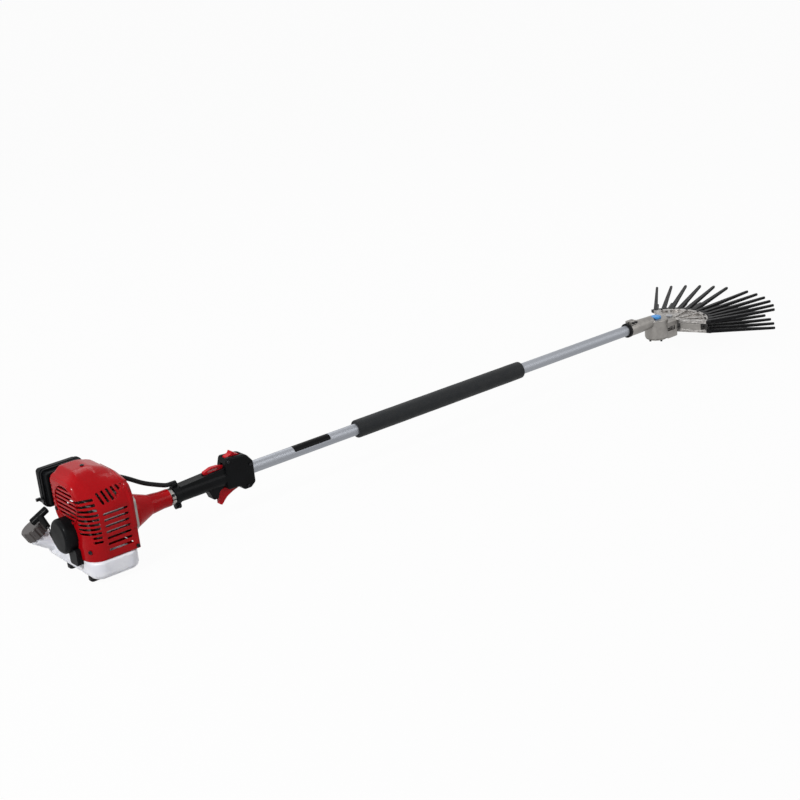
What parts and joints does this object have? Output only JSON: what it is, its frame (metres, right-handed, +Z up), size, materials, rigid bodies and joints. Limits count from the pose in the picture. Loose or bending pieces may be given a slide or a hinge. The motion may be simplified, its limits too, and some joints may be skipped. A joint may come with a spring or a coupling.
{
  "type": "petrol coffee harvester",
  "caption": "Petrol coffee harvester: small engine at the rear of a long pole, throttle handle, foam grip and a gear head that swings paired fan-shaped finger combs.",
  "frame": {"origin": "on the floor under the middle of the overall length, in the plane through the pole", "axes": "+X along the pole from the engine to the fingers, +Y to the left of someone holding it, +Z up"},
  "size_m": [2.1776, 0.4298, 0.2345],
  "materials": {
    "red_shell": "gloss",
    "red_paint": "gloss",
    "red_control": "satin",
    "tank_white": "translucent",
    "black_plastic": "matte",
    "black_comb": "satin",
    "black_foam": "soft foam",
    "filter_foam": "soft foam",
    "black_rubber": "matte",
    "clear_bulb": "clear",
    "rope": "braided",
    "tube_alloy": "satin anodised",
    "cast_alloy": "as cast",
    "steel": "machined",
    "fasteners": "black oxide",
    "blue_plastic": "satin"
  },
  "bodies": {
    "frame": {"carburettor": "cast_alloy", "clutch_housing": "red_paint", "crankcase": "cast_alloy", "cylinder": "cast_alloy", "engine_bearings": "steel", "engine_screws": "fasteners", "engine_shroud": "red_shell", "filter_base": "black_plastic", "filter_cover": "black_plastic", "filter_element": "filter_foam", "foam_grip": "black_foam", "fuel_lines": "black_rubber", "fuel_tank": "tank_white", "gearbox_bearings": "steel", "gearbox_case": "cast_alloy", "gearbox_cover": "cast_alloy", "grease_cap": "blue_plastic", "handle_collar": "black_plastic", "handle_left": "black_plastic", "handle_pins": "steel", "handle_right": "black_plastic", "handle_screws": "fasteners", "head_screws": "fasteners", "muffler": "steel", "neck_seal": "black_rubber", "pivot_pin": "steel", "plug_boot": "black_rubber", "shaft_bushes": "black_rubber", "shaft_tube": "tube_alloy", "spark_plug": "steel", "starter_drum": "black_plastic", "starter_leg": "black_plastic", "tank_feet": "black_rubber", "throttle_conduit": "black_rubber", "tube_clamp_ring": "cast_alloy"},
    "crankshaft": {"crankshaft": "steel", "flywheel_fan": "cast_alloy", "clutch_shoes": "steel"},
    "drive_line": {"clutch_drum": "steel", "drive_shaft": "steel", "bevel_pinion": "steel"},
    "hand_crank": {"hand_crank": "steel"},
    "upper_hand": {"upper_carrier": "cast_alloy", "upper_comb_left": "black_comb", "upper_comb_right": "black_comb", "upper_comb_screws": "fasteners"},
    "lower_hand": {"lower_carrier": "cast_alloy", "lower_comb_left": "black_comb", "lower_comb_right": "black_comb", "lower_comb_screws": "fasteners"},
    "throttle_trigger": {"throttle_trigger": "red_control"},
    "lockout_lever": {"lockout_lever": "red_control"},
    "stop_switch": {"stop_switch": "red_control"},
    "starter_handle": {"starter_handle": "black_plastic", "starter_rope": "rope"},
    "starter_reel": {"starter_reel": "black_plastic"},
    "fuel_cap": {"fuel_cap": "black_plastic"},
    "choke_lever": {"choke_lever": "steel"},
    "filter_knob": {"filter_knob": "black_plastic"},
    "primer_bulb": {"primer_bulb": "clear_bulb"}
  },
  "joints": [
    {"name": "crankshaft_spin", "type": "hinge", "parent": "frame", "child": "crankshaft", "pos_m": [-0.97001, 0, 0.098], "axis": [1, 0, 0], "continuous": true},
    {"name": "drive_spin", "type": "hinge", "parent": "frame", "child": "drive_line", "pos_m": [-0.88901, 0, 0.098], "axis": [1, 0, 0], "continuous": true},
    {"name": "crank_spin", "type": "hinge", "parent": "frame", "child": "hand_crank", "pos_m": [0.74499, 0, 0.098], "axis": [0, 0, 1], "continuous": true},
    {"name": "upper_swing", "type": "hinge", "parent": "frame", "child": "upper_hand", "pos_m": [0.79799, 0, 0.069], "axis": [0, 0, 1], "range_deg": [-4, 4]},
    {"name": "lower_swing", "type": "hinge", "parent": "frame", "child": "lower_hand", "pos_m": [0.79799, 0, 0.069], "axis": [0, 0, 1], "range_deg": [-4, 4]},
    {"name": "trigger_squeeze", "type": "hinge", "parent": "frame", "child": "throttle_trigger", "pos_m": [-0.63601, 0, 0.077], "axis": [0, 1, 0], "range_deg": [0, 15], "stiffness_Nm_per_rad": 0.6, "springref_deg": -11.46},
    {"name": "lockout_press", "type": "hinge", "parent": "frame", "child": "lockout_lever", "pos_m": [-0.65401, 0, 0.12], "axis": [0, 1, 0], "range_deg": [-8, 0], "stiffness_Nm_per_rad": 0.4, "springref_deg": 8.59},
    {"name": "stop_rock", "type": "hinge", "parent": "frame", "child": "stop_switch", "pos_m": [-0.63401, 0, 0.137], "axis": [0, 1, 0], "range_deg": [-8, 8]},
    {"name": "starter_pull", "type": "slide", "parent": "frame", "child": "starter_handle", "axis": [0, 0.9104, 0.4137], "range_m": [0, 0.75], "deforming": ["starter_rope"]},
    {"name": "reel_turn", "type": "hinge", "parent": "frame", "child": "starter_reel", "pos_m": [-1.05301, 0, 0.098], "axis": [1, 0, 0], "range_deg": [0, 1540]},
    {"name": "cap_turn", "type": "hinge", "parent": "frame", "child": "fuel_cap", "pos_m": [-1.05526, 0.12334, 0.06669], "axis": [-0.4494, 0.1298, 0.8838], "range_deg": [0, 270]},
    {"name": "choke_turn", "type": "hinge", "parent": "frame", "child": "choke_lever", "pos_m": [-1.04401, 0.0805, 0.152], "axis": [1, 0, 0], "range_deg": [0, 60]},
    {"name": "knob_turn", "type": "hinge", "parent": "frame", "child": "filter_knob", "pos_m": [-0.99501, 0.1123, 0.178], "axis": [0, 1, 0], "range_deg": [0, 270]},
    {"name": "primer_press", "type": "slide", "parent": "frame", "child": "primer_bulb", "axis": [0, 0, 1], "range_m": [0, 0.004], "stiffness_N_per_m": 600, "springref_m": -0.003}
  ],
  "couplings": [
    {"joint": "crank_spin", "follows": "drive_spin", "ratio": -0.33333},
    {"joint": "lower_swing", "follows": "upper_swing", "ratio": -1},
    {"joint": "reel_turn", "follows": "starter_pull", "rad_per_m": 35.714}
  ]
}
